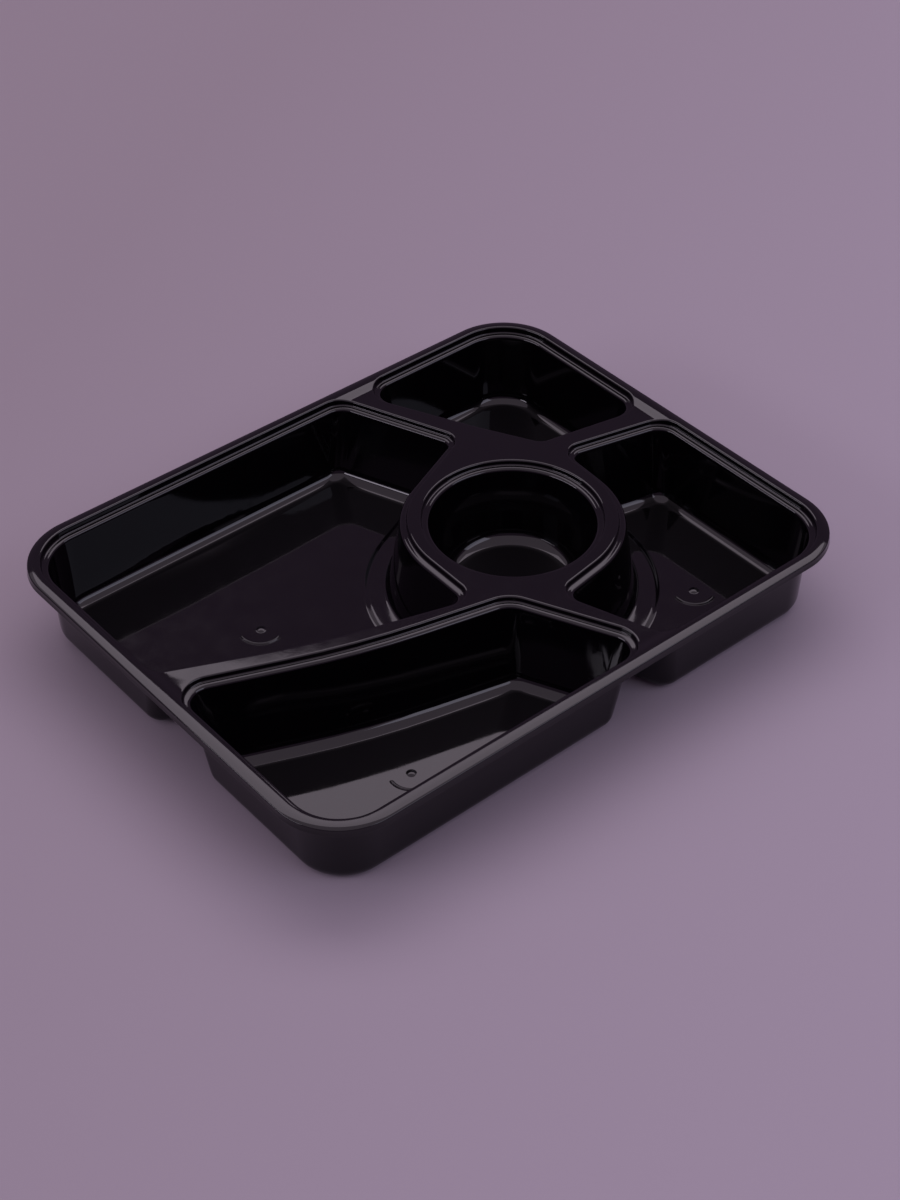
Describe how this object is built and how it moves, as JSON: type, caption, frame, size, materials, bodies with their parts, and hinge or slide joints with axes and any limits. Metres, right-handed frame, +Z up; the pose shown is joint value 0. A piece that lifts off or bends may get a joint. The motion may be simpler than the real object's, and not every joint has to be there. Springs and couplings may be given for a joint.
{
  "type": "compartment serving tray",
  "caption": "Low rectangular tray formed in one thin glossy sheet, with shallow wells of unequal shape round a small round cup, lid seats and a turned-down rim.",
  "frame": {"origin": "centre of the footprint, on the surface the tray stands on", "axes": "+X along the length, towards the end with the small wells; +Y across the width, from the long front well to the large well; +Z up out of the wells"},
  "size_m": [0.27, 0.2126, 0.038],
  "materials": {
    "formed_sheet": "glossy black formed sheet"
  },
  "bodies": {
    "root": {"rim_flange": "formed_sheet", "divider_web": "formed_sheet", "divider_ramps": "formed_sheet", "large_well_seat": "formed_sheet", "large_well_wall": "formed_sheet", "large_well_floor": "formed_sheet", "front_well_seat": "formed_sheet", "front_well_wall": "formed_sheet", "front_well_floor": "formed_sheet", "right_well_seat": "formed_sheet", "right_well_wall": "formed_sheet", "right_well_floor": "formed_sheet", "back_well_seat": "formed_sheet", "back_well_wall": "formed_sheet", "back_well_floor": "formed_sheet", "cup_seat": "formed_sheet", "cup_wall": "formed_sheet", "cup_floor": "formed_sheet"}
  },
  "joints": []
}
